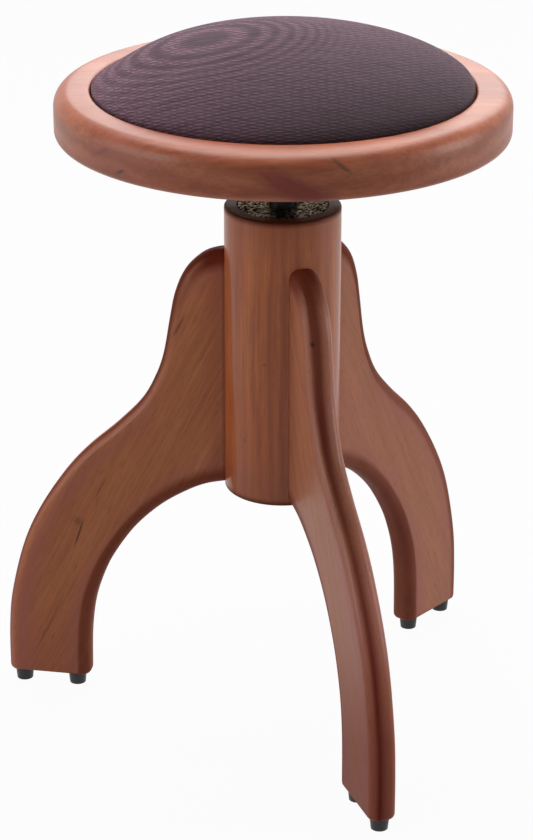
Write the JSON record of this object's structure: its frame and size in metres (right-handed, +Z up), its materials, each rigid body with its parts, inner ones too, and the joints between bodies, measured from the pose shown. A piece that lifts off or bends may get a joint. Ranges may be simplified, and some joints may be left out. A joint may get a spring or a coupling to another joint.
{
  "type": "revolving piano stool",
  "caption": "Revolving piano stool with a padded round seat in a wooden ring, on a screw spindle in a turned column with curved legs on small glides.",
  "frame": {"origin": "on the column's axis at floor level, in the plane of the glides' contact faces", "axes": "+Z up along the column's axis; -Y is the direction of the front leg; +X is to the right seen from the front leg's side"},
  "size_m": [0.3802, 0.382, 0.5365],
  "materials": {
    "column_wood": "satin",
    "leg_wood": "satin",
    "ring_wood": "satin",
    "dowel_wood": "matte",
    "plywood": "matte",
    "glide_plastic": "matte",
    "zinc_steel": "satin",
    "plate_steel": "rough",
    "nut_brass": "satin",
    "disc_nylon": "matte",
    "black_steel": "satin",
    "foam": "matte",
    "cover_fabric": "matte"
  },
  "bodies": {
    "stand": {"column": "column_wood", "leg_left": "leg_wood", "leg_front": "leg_wood", "leg_right": "leg_wood", "leg_dowels": "dowel_wood", "glide_left_outer": "glide_plastic", "glide_left_inner": "glide_plastic", "glide_front_outer": "glide_plastic", "glide_front_inner": "glide_plastic", "glide_right_outer": "glide_plastic", "glide_right_inner": "glide_plastic", "glide_nails": "zinc_steel", "top_plate": "plate_steel", "top_plate_screws": "zinc_steel", "guide_tube": "plate_steel", "spindle_nut": "nut_brass"},
    "guide": {"guide_disc": "disc_nylon"},
    "seat": {"spindle": "black_steel", "spindle_hub": "black_steel", "mounting_plate": "black_steel", "plate_screws": "zinc_steel", "stop_washer": "zinc_steel", "stop_screw": "zinc_steel", "seat_board": "plywood", "seat_ring": "ring_wood", "ring_screws": "zinc_steel", "pad_board": "plywood", "pad_foam": "foam", "pad_cover": "cover_fabric", "cover_staples": "zinc_steel", "pad_screws": "zinc_steel"}
  },
  "joints": [
    {"name": "seat_rise", "type": "slide", "parent": "stand", "child": "guide", "axis": [0, 0, 1], "range_m": [-0.036, 0.072]},
    {"name": "seat_turn", "type": "hinge", "parent": "guide", "child": "seat", "pos_m": [0, 0, 0], "axis": [0, 0, 1], "range_deg": [-2160, 4320]}
  ],
  "couplings": [
    {"joint": "seat_rise", "follows": "seat_turn", "m_per_rad": 0.00095493}
  ]
}
